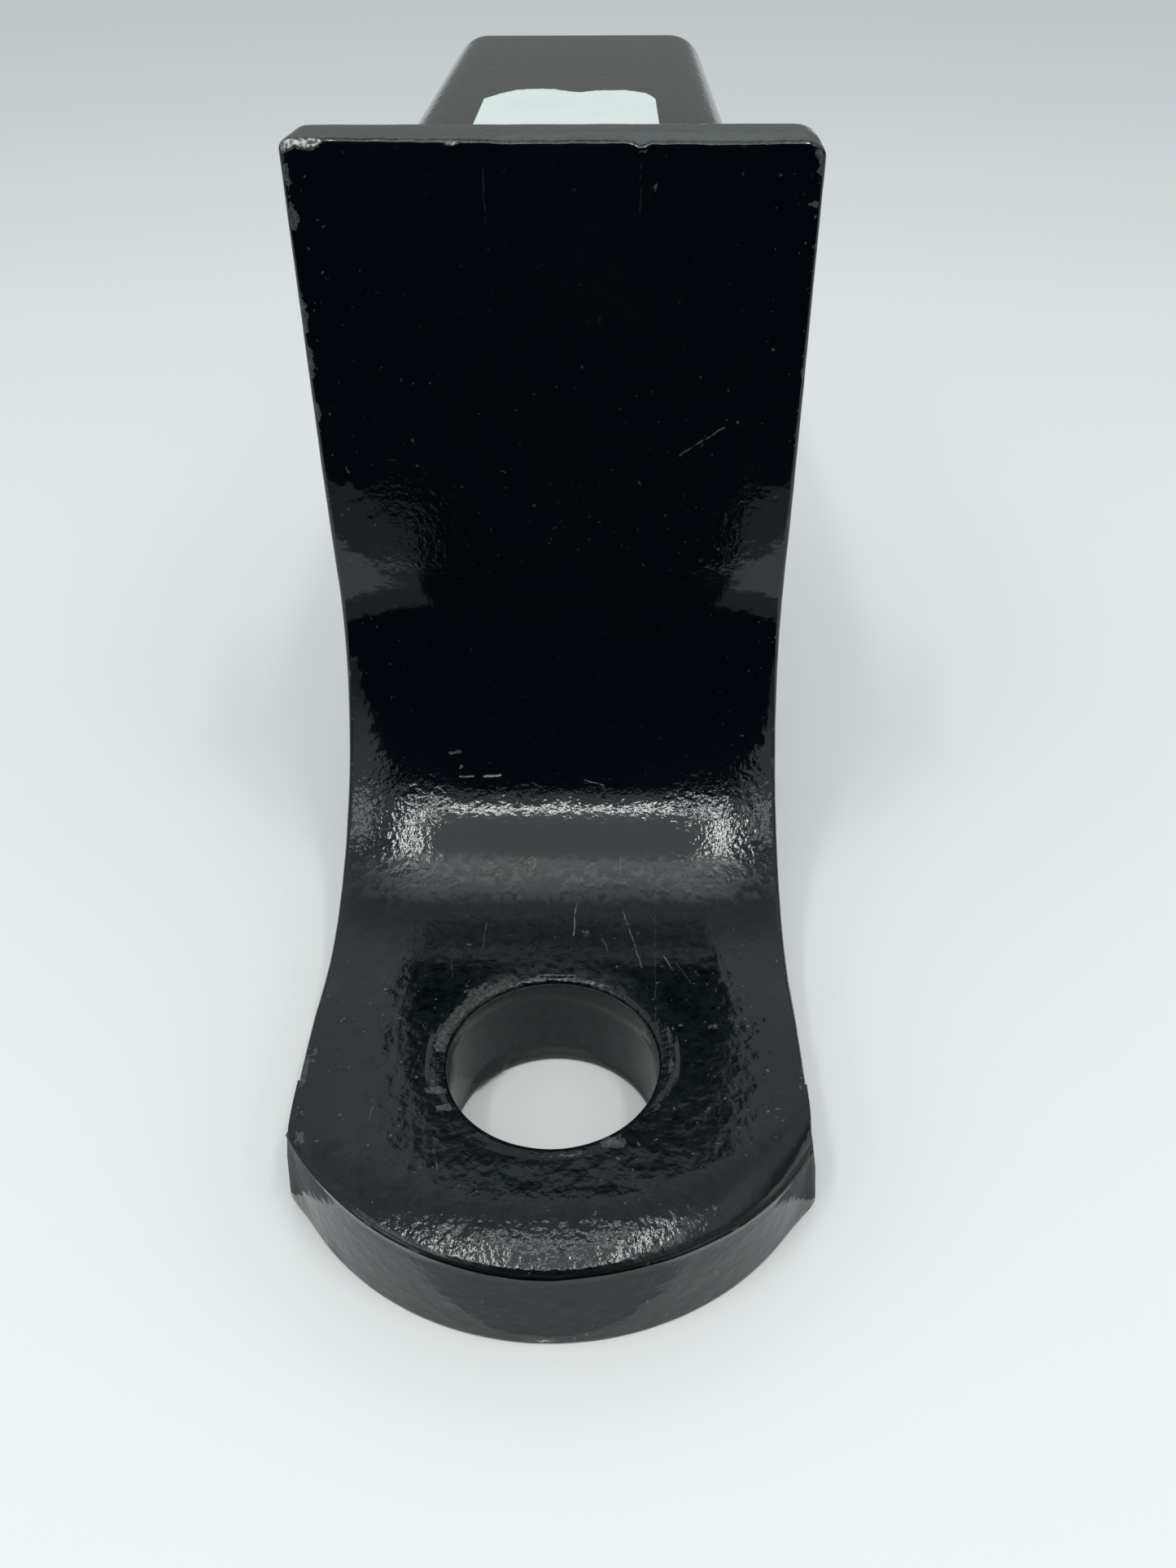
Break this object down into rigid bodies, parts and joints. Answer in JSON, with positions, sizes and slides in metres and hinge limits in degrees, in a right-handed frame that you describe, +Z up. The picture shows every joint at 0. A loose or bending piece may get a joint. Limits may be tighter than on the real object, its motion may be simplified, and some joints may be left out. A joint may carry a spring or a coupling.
{
  "type": "trailer hitch ball mount",
  "caption": "Drop ball mount: a flat steel bar bent to a ball platform with a punched ball hole, welded to a square receiver shank.",
  "frame": {"origin": "centre of the hitch pin hole, on the shank's axis", "axes": "+Z up, +Y along the shank towards the towing vehicle, -Y towards the ball, +X along the hitch pin hole"},
  "size_m": [0.0802, 0.2817, 0.135],
  "materials": {
    "black_paint": "thick gloss black paint with orange peel, chipped to grey steel along the edges",
    "weld": "rippled fillet weld under the same gloss black paint",
    "paper": "thin matt white paper label, torn along one edge"
  },
  "bodies": {
    "root": {"drawbar": "black_paint", "shank_tube": "black_paint", "weld_bead": "weld", "paper_label": "paper"}
  },
  "joints": []
}
